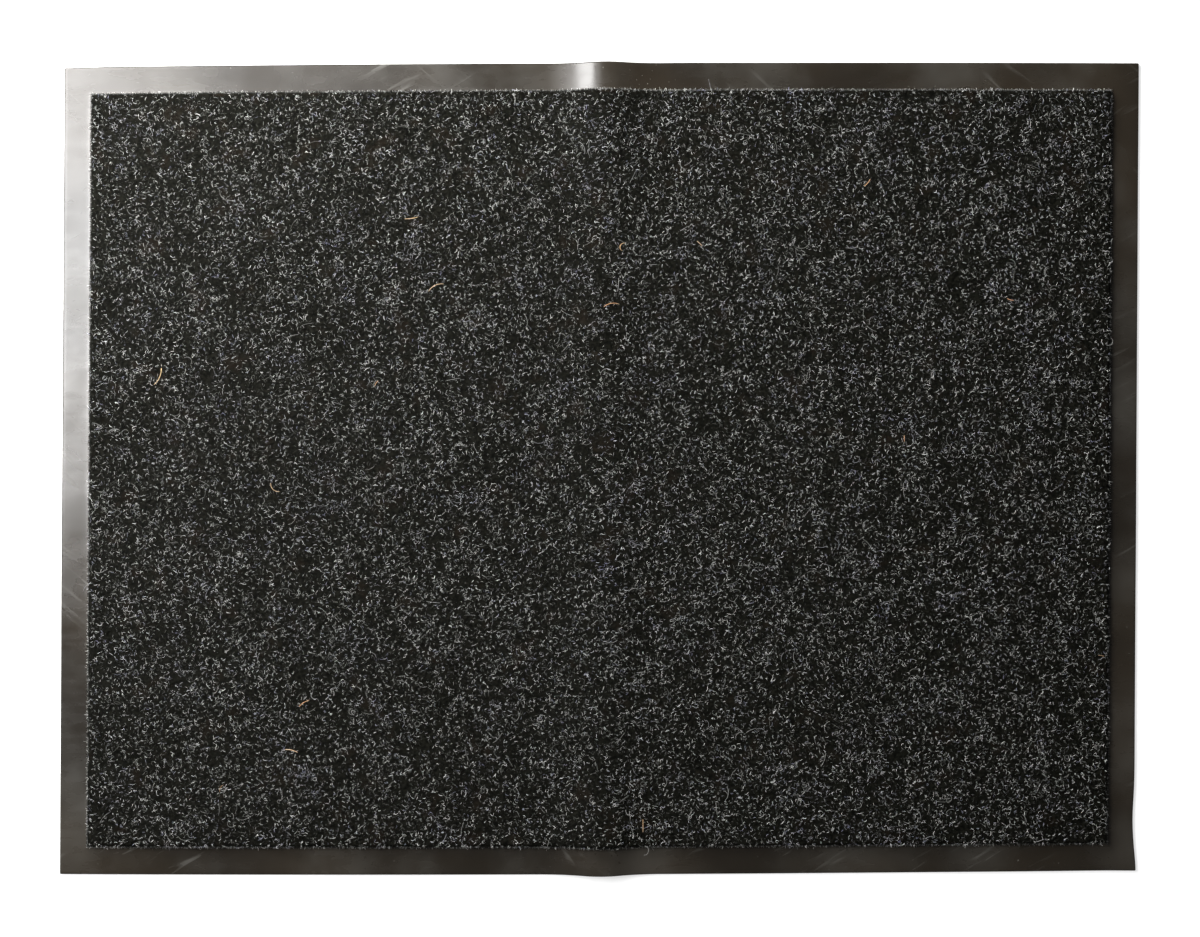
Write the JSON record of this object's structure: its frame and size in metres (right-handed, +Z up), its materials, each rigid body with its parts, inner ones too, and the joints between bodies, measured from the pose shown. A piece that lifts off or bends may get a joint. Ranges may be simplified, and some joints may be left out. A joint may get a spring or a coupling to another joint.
{
  "type": "door mat",
  "caption": "Rectangular entrance mat: short dark cut pile on a vinyl backing with a flat border, and a raised packing crease across its middle where it folds in half.",
  "frame": {"origin": "on the floor under the middle of the mat's outline", "axes": "+X along the long side, +Y along the short side, +Z up out of the pile; the crease runs along Y"},
  "size_m": [0.8, 0.6, 0.0128],
  "materials": {
    "vinyl": "smooth moulded vinyl with a soft gloss",
    "latex": "matt",
    "cloth": "woven flat yarn",
    "pile": "short cut pile, near black flecked with grey",
    "grey_yarn": "cut polypropylene fibre"
  },
  "bodies": {
    "left_half": {"vinyl_backing_left": "vinyl", "latex_precoat_left": "latex", "primary_cloth_left": "cloth", "cut_pile_left": "pile"},
    "right_half": {"vinyl_backing_right": "vinyl", "latex_precoat_right": "latex", "primary_cloth_right": "cloth", "cut_pile_right": "pile"}
  },
  "joints": [
    {"name": "fold", "type": "hinge", "parent": "left_half", "child": "right_half", "pos_m": [0.003, 0, 0.013], "axis": [0, -1, 0], "range_deg": [0, 179]}
  ]
}
